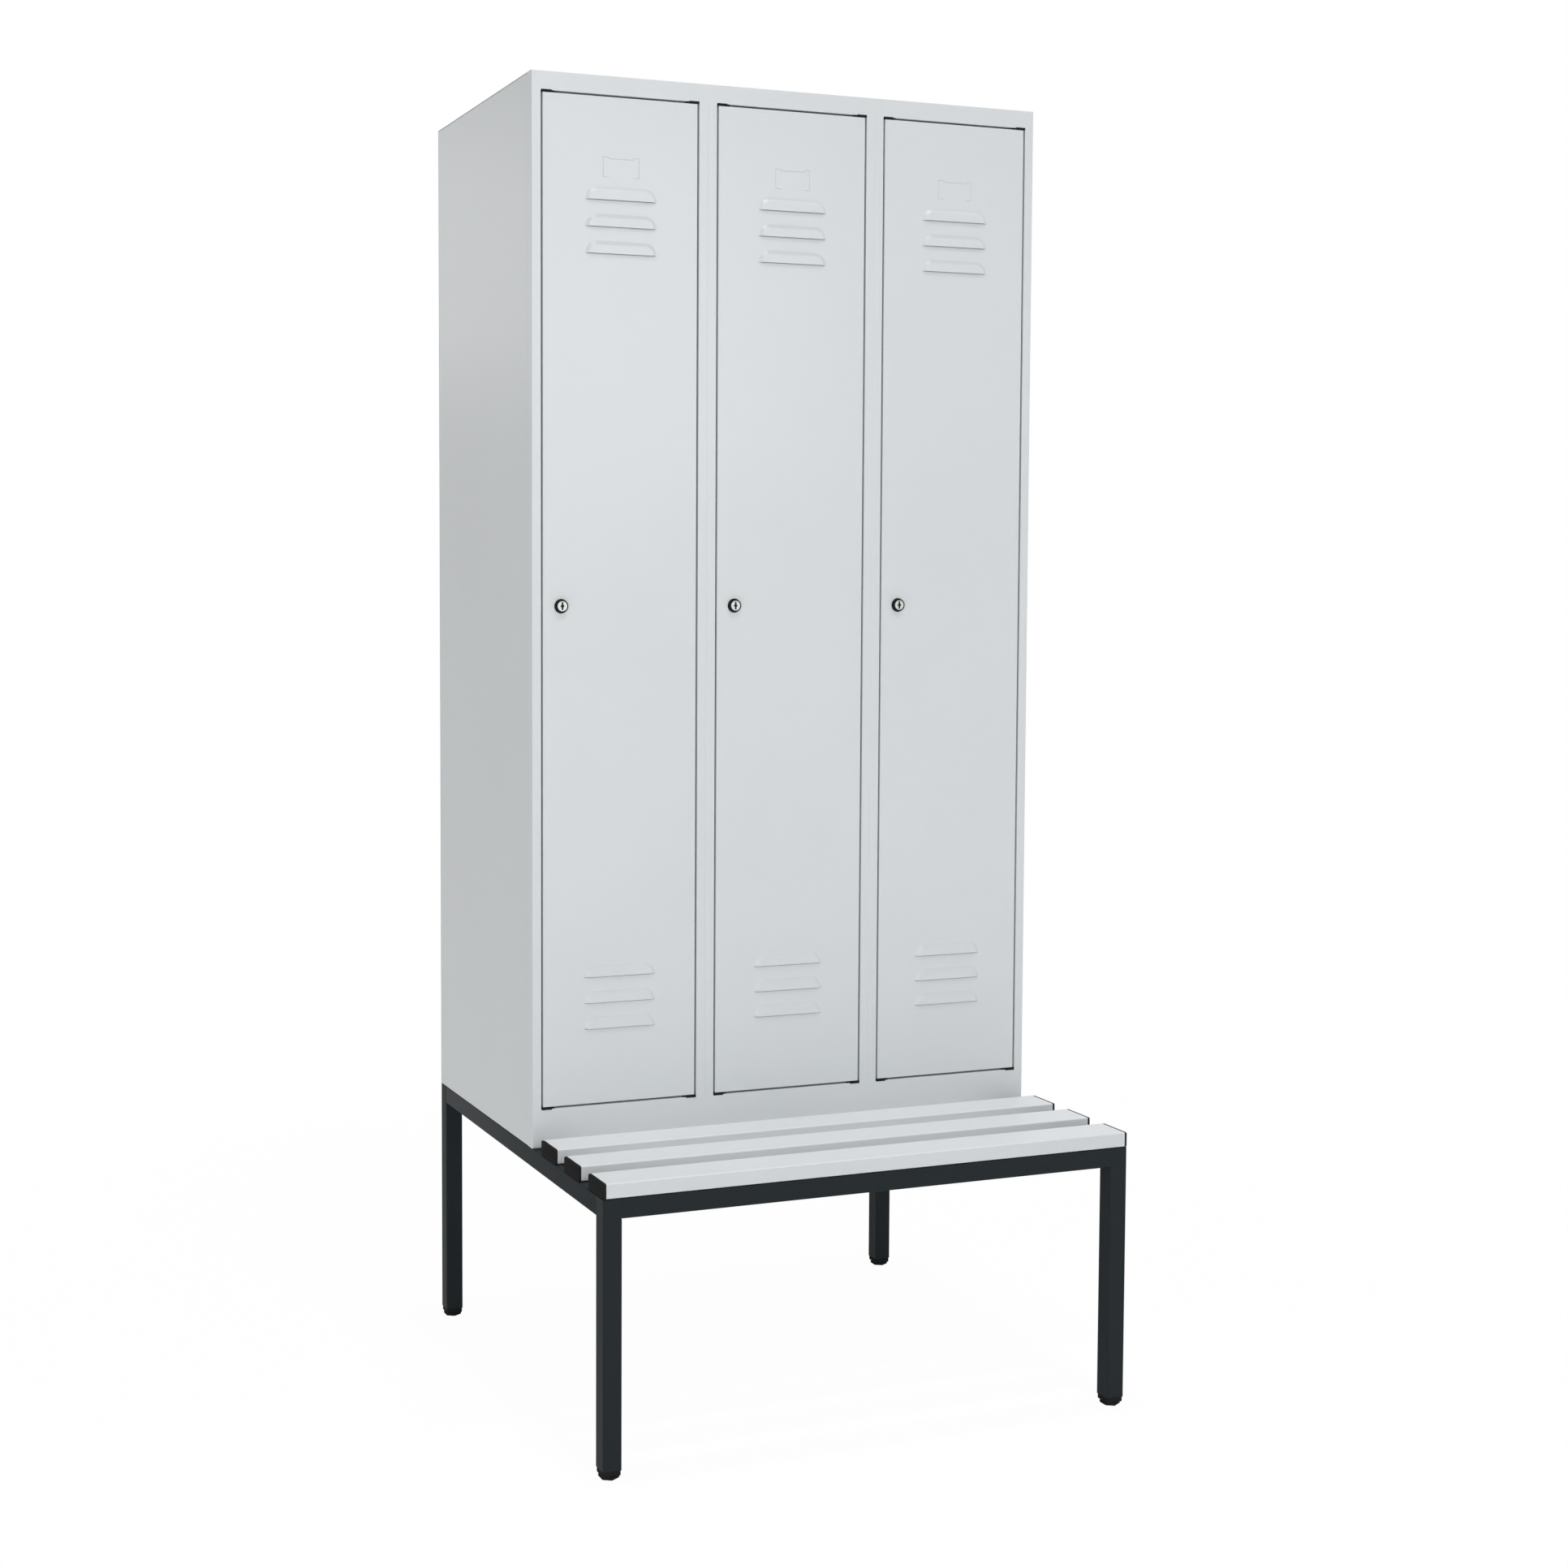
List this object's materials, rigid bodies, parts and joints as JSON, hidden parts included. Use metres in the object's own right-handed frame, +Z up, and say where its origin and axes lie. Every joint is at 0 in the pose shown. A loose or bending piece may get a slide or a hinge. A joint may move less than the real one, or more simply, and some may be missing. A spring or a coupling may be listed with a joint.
{
  "type": "locker with bench",
  "caption": "Steel cloakroom locker with lockable doors, hat shelves and coat rails, on a square-tube base that carries a slatted bench in front",
  "frame": {"origin": "on the floor, under the middle of the footprint of cabinet and bench", "axes": "+Z up, +X to the right as seen from the front, +Y towards the back; the doors face -Y"},
  "size_m": [0.9, 0.8169, 2.1223],
  "materials": {
    "light_grey_paint": "smooth semi-matt powder coat, light grey",
    "anthracite_paint": "smooth semi-matt powder coat, dark blue-grey",
    "slat_plastic": "extruded plastic, light grey, satin",
    "black_plastic": "moulded plastic, black, satin",
    "zinc_plated_steel": "zinc plated",
    "lock_metal": "satin nickel plate"
  },
  "bodies": {
    "locker": {"back_panel": "light_grey_paint", "coat_rail_left": "zinc_plated_steel", "coat_rail_middle": "zinc_plated_steel", "coat_rail_right": "zinc_plated_steel", "floor_panel": "light_grey_paint", "front_frame": "light_grey_paint", "front_rail": "anthracite_paint", "hat_shelf_left": "light_grey_paint", "hat_shelf_middle": "light_grey_paint", "hat_shelf_right": "light_grey_paint", "hinge_pin_bottom_left": "black_plastic", "hinge_pin_bottom_middle": "black_plastic", "hinge_pin_bottom_right": "black_plastic", "hinge_pin_top_left": "black_plastic", "hinge_pin_top_middle": "black_plastic", "hinge_pin_top_right": "black_plastic", "leg_front_left": "anthracite_paint", "leg_front_right": "anthracite_paint", "leg_insert_front_left": "black_plastic", "leg_insert_front_right": "black_plastic", "leg_insert_rear_left": "black_plastic", "leg_insert_rear_right": "black_plastic", "leg_rear_left": "anthracite_paint", "leg_rear_right": "anthracite_paint", "partition_left": "light_grey_paint", "partition_right": "light_grey_paint", "rear_rail": "anthracite_paint", "side_panel_left": "light_grey_paint", "side_panel_right": "light_grey_paint", "side_rail_left": "anthracite_paint", "side_rail_right": "anthracite_paint", "slat_cap_front_left": "black_plastic", "slat_cap_front_right": "black_plastic", "slat_cap_middle_left": "black_plastic", "slat_cap_middle_right": "black_plastic", "slat_cap_rear_left": "black_plastic", "slat_cap_rear_right": "black_plastic", "slat_front": "slat_plastic", "slat_middle": "slat_plastic", "slat_rear": "slat_plastic", "top_panel": "light_grey_paint"},
    "door_left": {"door_left": "light_grey_paint", "lock_collar_left": "black_plastic"},
    "lock_left": {"lock_cylinder_left": "lock_metal", "lock_cam_left": "zinc_plated_steel"},
    "hook_left": {"coat_hook_left": "black_plastic"},
    "door_middle": {"door_middle": "light_grey_paint", "lock_collar_middle": "black_plastic"},
    "lock_middle": {"lock_cylinder_middle": "lock_metal", "lock_cam_middle": "zinc_plated_steel"},
    "hook_middle": {"coat_hook_middle": "black_plastic"},
    "door_right": {"door_right": "light_grey_paint", "lock_collar_right": "black_plastic"},
    "lock_right": {"lock_cylinder_right": "lock_metal", "lock_cam_right": "zinc_plated_steel"},
    "hook_right": {"coat_hook_right": "black_plastic"},
    "glide_front_left": {"levelling_glide_front_left": "black_plastic"},
    "glide_front_right": {"levelling_glide_front_right": "black_plastic"},
    "glide_rear_left": {"levelling_glide_rear_left": "black_plastic"},
    "glide_rear_right": {"levelling_glide_rear_right": "black_plastic"}
  },
  "joints": [
    {"name": "door_hinge_left", "type": "hinge", "parent": "locker", "child": "door_left", "pos_m": [-0.1735, -0.0875, 0.4876], "axis": [0, 0, 1], "range_deg": [0, 110]},
    {"name": "lock_turn_left", "type": "hinge", "parent": "door_left", "child": "lock_left", "pos_m": [-0.401, -0.0925, 1.2887], "axis": [0, 1, 0], "range_deg": [0, 90]},
    {"name": "hook_slide_left", "type": "slide", "parent": "locker", "child": "hook_left", "axis": [1, 0, 0], "range_m": [-0.138, 0.138]},
    {"name": "door_hinge_middle", "type": "hinge", "parent": "locker", "child": "door_middle", "pos_m": [0.1265, -0.0875, 0.4876], "axis": [0, 0, 1], "range_deg": [0, 110]},
    {"name": "lock_turn_middle", "type": "hinge", "parent": "door_middle", "child": "lock_middle", "pos_m": [-0.101, -0.0925, 1.2887], "axis": [0, 1, 0], "range_deg": [0, 90]},
    {"name": "hook_slide_middle", "type": "slide", "parent": "locker", "child": "hook_middle", "axis": [1, 0, 0], "range_m": [-0.138, 0.138]},
    {"name": "door_hinge_right", "type": "hinge", "parent": "locker", "child": "door_right", "pos_m": [0.4265, -0.0875, 0.4876], "axis": [0, 0, 1], "range_deg": [0, 110]},
    {"name": "lock_turn_right", "type": "hinge", "parent": "door_right", "child": "lock_right", "pos_m": [0.199, -0.0925, 1.2887], "axis": [0, 1, 0], "range_deg": [0, 90]},
    {"name": "hook_slide_right", "type": "slide", "parent": "locker", "child": "hook_right", "axis": [1, 0, 0], "range_m": [-0.138, 0.138]},
    {"name": "glide_screw_front_left", "type": "slide", "parent": "locker", "child": "glide_front_left", "axis": [0, 0, -1], "range_m": [0, 0.01]},
    {"name": "glide_screw_front_right", "type": "slide", "parent": "locker", "child": "glide_front_right", "axis": [0, 0, -1], "range_m": [0, 0.01]},
    {"name": "glide_screw_rear_left", "type": "slide", "parent": "locker", "child": "glide_rear_left", "axis": [0, 0, -1], "range_m": [0, 0.01]},
    {"name": "glide_screw_rear_right", "type": "slide", "parent": "locker", "child": "glide_rear_right", "axis": [0, 0, -1], "range_m": [0, 0.01]}
  ]
}
